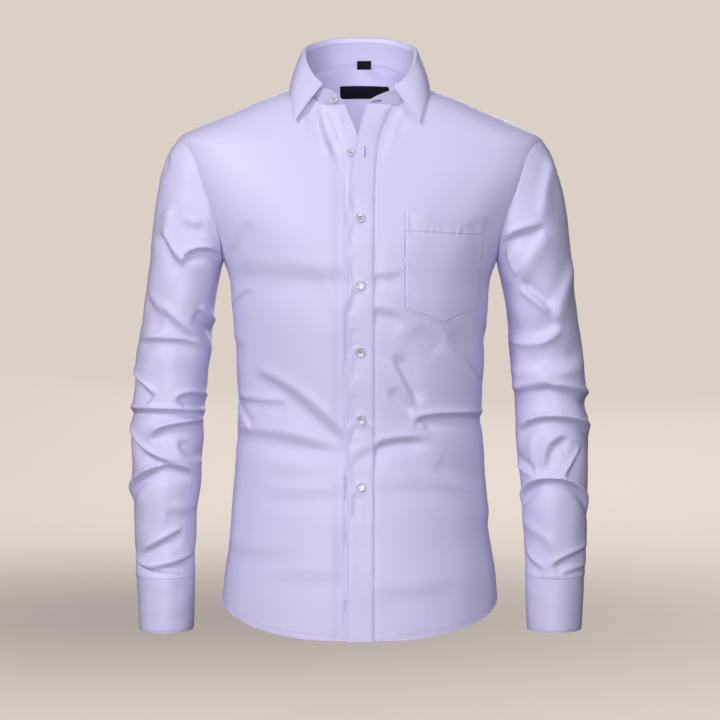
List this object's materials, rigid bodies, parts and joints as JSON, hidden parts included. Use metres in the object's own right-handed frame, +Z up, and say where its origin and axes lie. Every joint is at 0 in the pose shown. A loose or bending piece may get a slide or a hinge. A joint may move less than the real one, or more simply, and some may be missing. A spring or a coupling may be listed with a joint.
{
  "type": "long sleeve dress shirt",
  "caption": "Filled-out long sleeve dress shirt with open neck, spread collar, front placket, chest pocket, buttoned cuffs and curved hem.",
  "frame": {"origin": "on the neck's vertical centre line at the height of the shoulder line's upper ends, where the wearer's neck holds the shirt", "axes": "+Z up through the neck opening, front towards -Y, +X towards the wearer's left"},
  "size_m": [0.5971, 0.2531, 0.7728],
  "materials": {
    "shirting": "smooth lavender cotton with a soft sheen",
    "interlined_shirting": "the same lavender cotton, doubled and interlined",
    "label_tape": "black woven tape, left blank",
    "pearl_button": "pearly, slightly clear, polished"
  },
  "bodies": {
    "root": {"front_left": "shirting", "front_right": "shirting", "back": "shirting", "yoke": "shirting", "sleeve_right": "shirting", "sleeve_left": "shirting", "sleeve_placket_right": "shirting", "sleeve_placket_left": "shirting", "front_placket": "shirting", "button_facing": "shirting", "chest_pocket": "shirting", "cuff_right": "interlined_shirting", "cuff_left": "interlined_shirting", "collar_stand": "interlined_shirting", "collar_leaf": "interlined_shirting", "neck_label": "label_tape", "size_label": "label_tape", "button_1": "pearl_button", "button_2": "pearl_button", "button_3": "pearl_button", "button_4": "pearl_button", "button_5": "pearl_button", "button_6": "pearl_button", "button_7": "pearl_button", "cuff_button_right": "pearl_button", "cuff_button_left": "pearl_button", "sleeve_button_right": "pearl_button", "sleeve_button_left": "pearl_button"}
  },
  "joints": []
}
